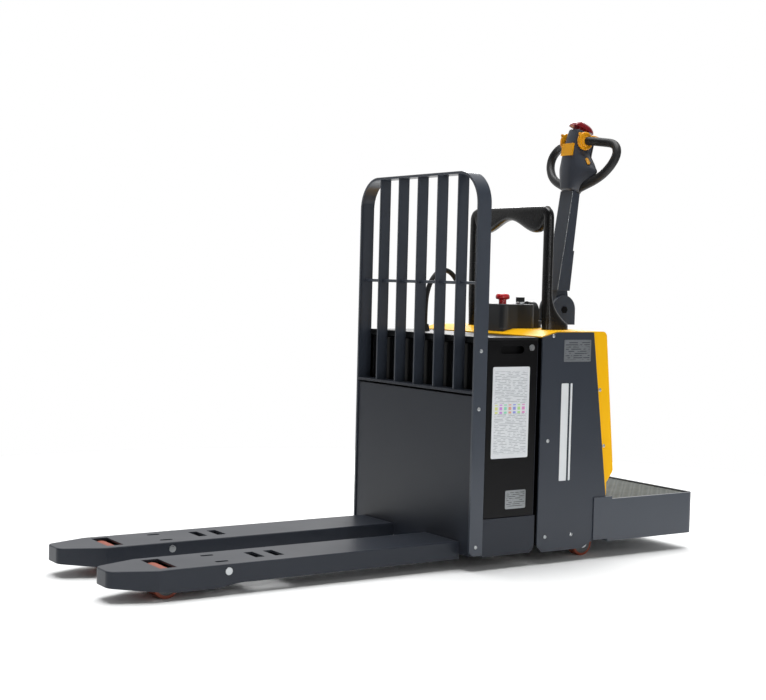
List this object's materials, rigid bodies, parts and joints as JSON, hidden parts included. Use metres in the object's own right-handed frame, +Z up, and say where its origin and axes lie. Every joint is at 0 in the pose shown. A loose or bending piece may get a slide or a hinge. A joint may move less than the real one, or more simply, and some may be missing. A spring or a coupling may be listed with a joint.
{
  "type": "electric pallet truck",
  "caption": "Electric rider pallet truck: two low forks with load wheels, load backrest, battery box with side doors, drive chassis, tiller and rear operator platform.",
  "frame": {"origin": "on the floor, under the middle of the truck's length and width", "axes": "+X from the fork tips to the operator platform, +Z up, -Y the operator's left facing the forks"},
  "size_m": [2.11, 0.688, 1.4721],
  "materials": {
    "slate_paint": "gloss",
    "black_paint": "satin",
    "zinc_steel": "satin",
    "bright_steel": "satin",
    "polyurethane": "satin",
    "battery_paint": "satin",
    "cell_plastic": "matte",
    "black_plastic": "satin",
    "cable_rubber": "matte",
    "chrome_rod": "polished",
    "yellow_plastic": "gloss",
    "gear_iron": "matte",
    "cast_aluminium": "satin",
    "mat_rubber": "matte",
    "red_plastic": "gloss",
    "slate_aluminium": "satin",
    "grip_plastic": "satin",
    "slate_plastic": "satin",
    "dark_red_plastic": "gloss",
    "orange_plastic": "gloss"
  },
  "bodies": {
    "drive_chassis": {"chassis_frame": "slate_paint", "side_panel_left": "slate_paint", "side_panel_right": "slate_paint", "drive_cover": "yellow_plastic", "lift_cylinder": "black_paint", "hydraulic_unit": "black_paint", "motor_controller": "cast_aluminium", "grab_hoop": "black_plastic", "console_box": "black_plastic", "battery_gauge": "black_plastic", "key_switch": "zinc_steel", "panel_screws": "zinc_steel", "data_plate": "cast_aluminium", "platform_deck": "slate_paint", "platform_mat": "mat_rubber"},
    "fork_frame": {"fork_left": "slate_paint", "fork_right": "slate_paint", "pivot_pins": "zinc_steel", "backrest_frame": "slate_paint", "backrest_slats": "slate_paint", "backrest_rod": "slate_paint", "backrest_cross_bar": "slate_paint", "front_plate": "slate_paint", "battery_box": "slate_paint", "battery_case": "battery_paint", "battery_cells": "cell_plastic", "battery_lid": "black_plastic", "battery_cable": "cable_rubber", "frame_screws": "zinc_steel", "piston_rod": "chrome_rod"},
    "wheel_arm_pair": {"wheel_arms": "slate_paint", "wheel_axles": "bright_steel"},
    "wheel_left": {"load_wheel_left": "polyurethane"},
    "wheel_right": {"load_wheel_right": "polyurethane"},
    "lift_rocker": {"rocker": "black_paint"},
    "rod_pair": {"pull_rods": "bright_steel"},
    "door_left": {"battery_door_left": "black_paint"},
    "door_right": {"battery_door_right": "black_paint"},
    "lock_left": {"door_lock_left": "zinc_steel"},
    "lock_right": {"door_lock_right": "zinc_steel"},
    "steering": {"steering_head": "black_paint", "tiller_pin": "black_paint", "tiller_spring": "bright_steel"},
    "tiller": {"tiller_shaft": "slate_aluminium", "tiller_handles": "grip_plastic", "tiller_head": "slate_plastic", "tiller_head_rear": "black_plastic"},
    "throttle": {"throttle_levers": "orange_plastic"},
    "reverse_button": {"belly_button": "dark_red_plastic"},
    "pad": {"control_pad": "yellow_plastic"},
    "wing_left": {"wing_button_left": "black_plastic"},
    "wing_right": {"wing_button_right": "black_plastic"},
    "estop": {"estop_button": "red_plastic"},
    "key": {"ignition_key": "black_plastic"},
    "drive_turret": {"drive_unit": "gear_iron"},
    "traction_wheel": {"drive_wheel": "polyurethane"},
    "caster_left": {"caster_yoke_left": "zinc_steel"},
    "caster_right": {"caster_yoke_right": "zinc_steel"},
    "roller_left": {"caster_wheel_left": "polyurethane"},
    "roller_right": {"caster_wheel_right": "polyurethane"}
  },
  "joints": [
    {"name": "lift", "type": "slide", "parent": "drive_chassis", "child": "fork_frame", "axis": [0, 0, 1], "range_m": [0, 0.12], "deforming": ["battery_cable"]},
    {"name": "arm_swing", "type": "hinge", "parent": "fork_frame", "child": "wheel_arm_pair", "pos_m": [-0.71, 0, 0.07], "axis": [0, -1, 0], "range_deg": [0, 48.44]},
    {"name": "rocker_turn", "type": "hinge", "parent": "fork_frame", "child": "lift_rocker", "pos_m": [0.3, 0, 0.07], "axis": [0, -1, 0], "range_deg": [0, 48.44]},
    {"name": "rod_swing", "type": "hinge", "parent": "lift_rocker", "child": "rod_pair", "pos_m": [0.3, 0, 0.045], "axis": [0, -1, 0], "range_deg": [-48.44, 0]},
    {"name": "load_wheel_left_spin", "type": "hinge", "parent": "wheel_arm_pair", "child": "wheel_left", "pos_m": [-0.883, -0.1865, 0.042], "axis": [0, 1, 0], "continuous": true},
    {"name": "load_wheel_right_spin", "type": "hinge", "parent": "wheel_arm_pair", "child": "wheel_right", "pos_m": [-0.883, 0.1865, 0.042], "axis": [0, 1, 0], "continuous": true},
    {"name": "door_left_swing", "type": "hinge", "parent": "fork_frame", "child": "door_left", "pos_m": [0.246, -0.334, 0.167], "axis": [1, 0, 0], "range_deg": [0, 75]},
    {"name": "door_right_swing", "type": "hinge", "parent": "fork_frame", "child": "door_right", "pos_m": [0.246, 0.334, 0.167], "axis": [-1, 0, 0], "range_deg": [0, 75]},
    {"name": "lock_left_turn", "type": "hinge", "parent": "door_left", "child": "lock_left", "pos_m": [0.3215, -0.336, 0.7], "axis": [0, -1, 0], "range_deg": [0, 90]},
    {"name": "lock_right_turn", "type": "hinge", "parent": "door_right", "child": "lock_right", "pos_m": [0.3215, 0.336, 0.7], "axis": [0, -1, 0], "range_deg": [0, 90]},
    {"name": "drive_steer", "type": "hinge", "parent": "drive_chassis", "child": "drive_turret", "pos_m": [0.507, 0, 0.3], "axis": [0, 0, 1], "range_deg": [-90, 90]},
    {"name": "tiller_steer", "type": "hinge", "parent": "drive_chassis", "child": "steering", "pos_m": [0.595, 0, 0.705], "axis": [0, 0, 1], "range_deg": [-90, 90]},
    {"name": "traction_wheel_spin", "type": "hinge", "parent": "drive_turret", "child": "traction_wheel", "pos_m": [0.507, 0, 0.115], "axis": [0, 1, 0], "continuous": true},
    {"name": "tiller_tilt", "type": "hinge", "parent": "steering", "child": "tiller", "pos_m": [0.706, 0, 0.814], "axis": [0, 1, 0], "range_deg": [0, 75], "stiffness_Nm_per_rad": 30, "springref_deg": -57.3},
    {"name": "throttle_turn", "type": "hinge", "parent": "tiller", "child": "throttle", "pos_m": [0.77049, 0, 1.40267], "axis": [0, 1, 0], "range_deg": [-10, 10], "stiffness_Nm_per_rad": 2},
    {"name": "reverse_button_press", "type": "slide", "parent": "tiller", "child": "reverse_button", "axis": [-0.342, 0, -0.9397], "range_m": [0, 0.008], "stiffness_N_per_m": 1500, "springref_m": -0.004},
    {"name": "pad_press", "type": "slide", "parent": "tiller", "child": "pad", "axis": [0.9836, 0, -0.1805], "range_m": [0, 0.0015], "stiffness_N_per_m": 2500, "springref_m": -0.001},
    {"name": "wing_left_press", "type": "slide", "parent": "tiller", "child": "wing_left", "axis": [0.3994, 0.7444, -0.5351], "range_m": [0, 0.0015], "stiffness_N_per_m": 1500, "springref_m": -0.001},
    {"name": "wing_right_press", "type": "slide", "parent": "tiller", "child": "wing_right", "axis": [0.3994, -0.7444, -0.5351], "range_m": [0, 0.0015], "stiffness_N_per_m": 1500, "springref_m": -0.001},
    {"name": "estop_press", "type": "slide", "parent": "drive_chassis", "child": "estop", "axis": [0, 0, -1], "range_m": [0, 0.006]},
    {"name": "key_turn", "type": "hinge", "parent": "drive_chassis", "child": "key", "pos_m": [0.493, -0.058, 0.835], "axis": [0, 0, 1], "range_deg": [0, 90]},
    {"name": "caster_left_swivel", "type": "hinge", "parent": "drive_chassis", "child": "caster_left", "pos_m": [0.583, -0.259, 0.094], "axis": [0, 0, 1], "continuous": true},
    {"name": "roller_left_spin", "type": "hinge", "parent": "caster_left", "child": "roller_left", "pos_m": [0.613, -0.259, 0.04], "axis": [0, 1, 0], "continuous": true},
    {"name": "caster_right_swivel", "type": "hinge", "parent": "drive_chassis", "child": "caster_right", "pos_m": [0.583, 0.259, 0.094], "axis": [0, 0, 1], "continuous": true},
    {"name": "roller_right_spin", "type": "hinge", "parent": "caster_right", "child": "roller_right", "pos_m": [0.613, 0.259, 0.04], "axis": [0, 1, 0], "continuous": true}
  ],
  "couplings": [
    {"joint": "arm_swing", "follows": "lift", "rad_per_m": 7.0431},
    {"joint": "rocker_turn", "follows": "lift", "rad_per_m": 7.0431},
    {"joint": "rod_swing", "follows": "lift", "rad_per_m": -7.0431},
    {"joint": "tiller_steer", "follows": "drive_steer", "ratio": 1}
  ]
}
